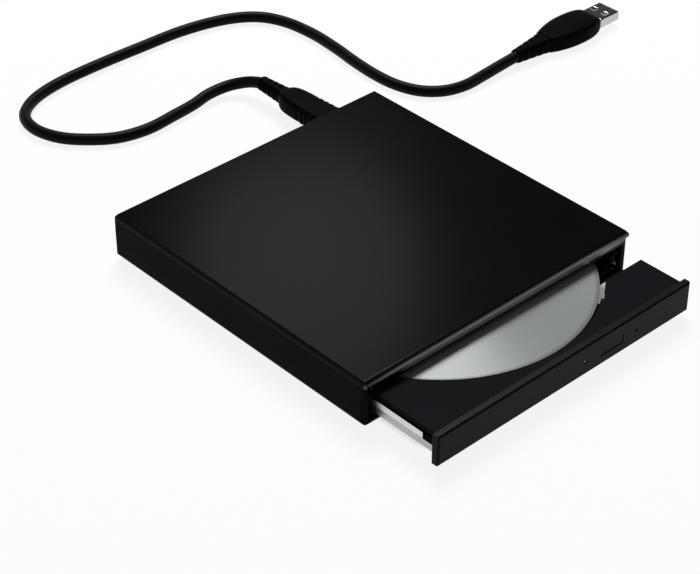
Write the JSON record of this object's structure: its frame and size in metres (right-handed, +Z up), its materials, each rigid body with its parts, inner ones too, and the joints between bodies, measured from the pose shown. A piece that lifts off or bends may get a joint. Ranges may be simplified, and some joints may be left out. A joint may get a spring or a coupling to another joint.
{
  "type": "external dvd drive",
  "caption": "Flat black external disc drive: a tray on telescopic rails slides out with a disc on its spindle and a reader sled below it, and a cable with a flat plug leaves the rear.",
  "frame": {"origin": "on the table, under the middle of the box that holds the case and the open tray, without the cable", "axes": "+Z up, the tray opens towards -Y, +X to the right seen from the front"},
  "size_m": [0.2768, 0.2901, 0.02],
  "materials": {
    "case_black": "matt moulded black",
    "cover_black": "satin moulded black",
    "bezel_black": "smooth satin black",
    "tray_black": "fine-grained bluish black",
    "foot_rubber": "matt",
    "bright_steel": "rolled sheet",
    "dull_steel": "plated sheet",
    "chassis_steel": "dull plated sheet",
    "dark_steel": "phosphated",
    "screw_steel": "plated",
    "guide_plastic": "matt",
    "light_plastic": "matt",
    "board_green": "solder mask",
    "chip_black": "matt",
    "copper_winding": "wound and plated",
    "flex_amber": "film",
    "disc_silver": "matt silver label side",
    "lens_clear": "coated",
    "lamp_clear": "clear",
    "pickup_metal": "die cast",
    "rotor_metal": "plated",
    "cable_black": "smooth sheath",
    "plug_black": "moulded over the cable",
    "plug_metal": "plated"
  },
  "bodies": {
    "case": {"top_cover": "cover_black", "base_shell": "case_black", "rubber_feet": "foot_rubber", "case_screws": "screw_steel", "drive_screws": "screw_steel", "drive_chassis": "chassis_steel", "chassis_lid": "chassis_steel", "rail_guide_left": "guide_plastic", "rail_guide_right": "guide_plastic", "latch_post": "bright_steel", "ejector_housing": "guide_plastic", "ejector_plunger": "light_plastic", "bridge_board": "board_green", "bridge_chips": "chip_black", "drive_connector": "chip_black", "usb_socket": "plug_metal", "flex_ribbon": "flex_amber", "socket_plug_shell": "plug_metal", "socket_plug_body": "plug_black", "socket_plug_relief": "plug_black", "usb_cable": "cable_black", "host_plug_relief": "plug_black", "host_plug_body": "plug_black", "host_plug_shell": "plug_metal", "host_plug_tongue": "light_plastic"},
    "rails": {"slide_rail_left": "bright_steel", "slide_rail_right": "bright_steel"},
    "tray": {"tray": "tray_black", "runner_bar_right": "dark_steel", "bezel": "bezel_black", "led_lens": "lamp_clear", "front_board": "board_green", "eject_switch": "light_plastic", "tray_bottom_plate": "dull_steel", "tray_screws": "screw_steel", "tray_board": "board_green", "tray_chips": "chip_black", "traverse_frame": "dull_steel", "damper_grommets": "foot_rubber", "spindle_motor": "copper_winding", "guide_rods": "bright_steel", "sled_motor": "dull_steel", "latch_pin": "bright_steel", "latch_solenoid": "copper_winding"},
    "button": {"eject_button": "bezel_black"},
    "rotor": {"turntable": "rotor_metal", "turntable_pad": "foot_rubber", "hub_chuck": "rotor_metal", "disc": "disc_silver"},
    "jaw_a": {"chuck_jaw_a": "light_plastic"},
    "jaw_b": {"chuck_jaw_b": "light_plastic"},
    "jaw_c": {"chuck_jaw_c": "light_plastic"},
    "sled": {"pickup_sled": "pickup_metal", "sled_follower": "light_plastic"},
    "lens": {"lens_holder": "guide_plastic", "objective_lens": "lens_clear"},
    "screw": {"lead_screw": "bright_steel"},
    "latch": {"latch_lever": "light_plastic"}
  },
  "joints": [
    {"name": "rail_slide", "type": "slide", "parent": "case", "child": "rails", "axis": [0, -1, 0], "range_m": [-0.032, 0.03], "deforming": ["flex_ribbon"]},
    {"name": "tray_slide", "type": "slide", "parent": "rails", "child": "tray", "axis": [0, -1, 0], "range_m": [0, 0.062], "deforming": ["flex_ribbon"]},
    {"name": "eject_press", "type": "slide", "parent": "tray", "child": "button", "axis": [0, 1, 0], "range_m": [0, 0.0007], "stiffness_N_per_m": 400},
    {"name": "disc_spin", "type": "hinge", "parent": "tray", "child": "rotor", "pos_m": [0, -0.0181, 0.012], "axis": [0, 0, 1], "continuous": true},
    {"name": "jaw_a_slide", "type": "slide", "parent": "rotor", "child": "jaw_a", "axis": [-1, 0, 0], "range_m": [0, 0.0009], "stiffness_N_per_m": 150},
    {"name": "jaw_b_slide", "type": "slide", "parent": "rotor", "child": "jaw_b", "axis": [0.5, -0.866, 0], "range_m": [0, 0.0009], "stiffness_N_per_m": 150},
    {"name": "jaw_c_slide", "type": "slide", "parent": "rotor", "child": "jaw_c", "axis": [0.5, 0.866, 0], "range_m": [0, 0.0009], "stiffness_N_per_m": 150},
    {"name": "sled_feed", "type": "slide", "parent": "tray", "child": "sled", "axis": [-0.7071, 0.7071, 0], "range_m": [0, 0.034]},
    {"name": "screw_turn", "type": "hinge", "parent": "tray", "child": "screw", "pos_m": [-0.02934, -0.01916, 0.00655], "axis": [-0.7071, 0.7071, 0], "range_deg": [-20, 4100]},
    {"name": "lens_focus", "type": "slide", "parent": "sled", "child": "lens", "axis": [0, 0, 1], "range_m": [-0.0004, 0.0004], "stiffness_N_per_m": 80},
    {"name": "latch_swing", "type": "hinge", "parent": "tray", "child": "latch", "pos_m": [0.044, -0.0751, 0.006], "axis": [0, 0, 1], "range_deg": [-22, 0]}
  ],
  "couplings": [
    {"joint": "screw_turn", "follows": "sled_feed", "rad_per_m": 2094.4}
  ]
}
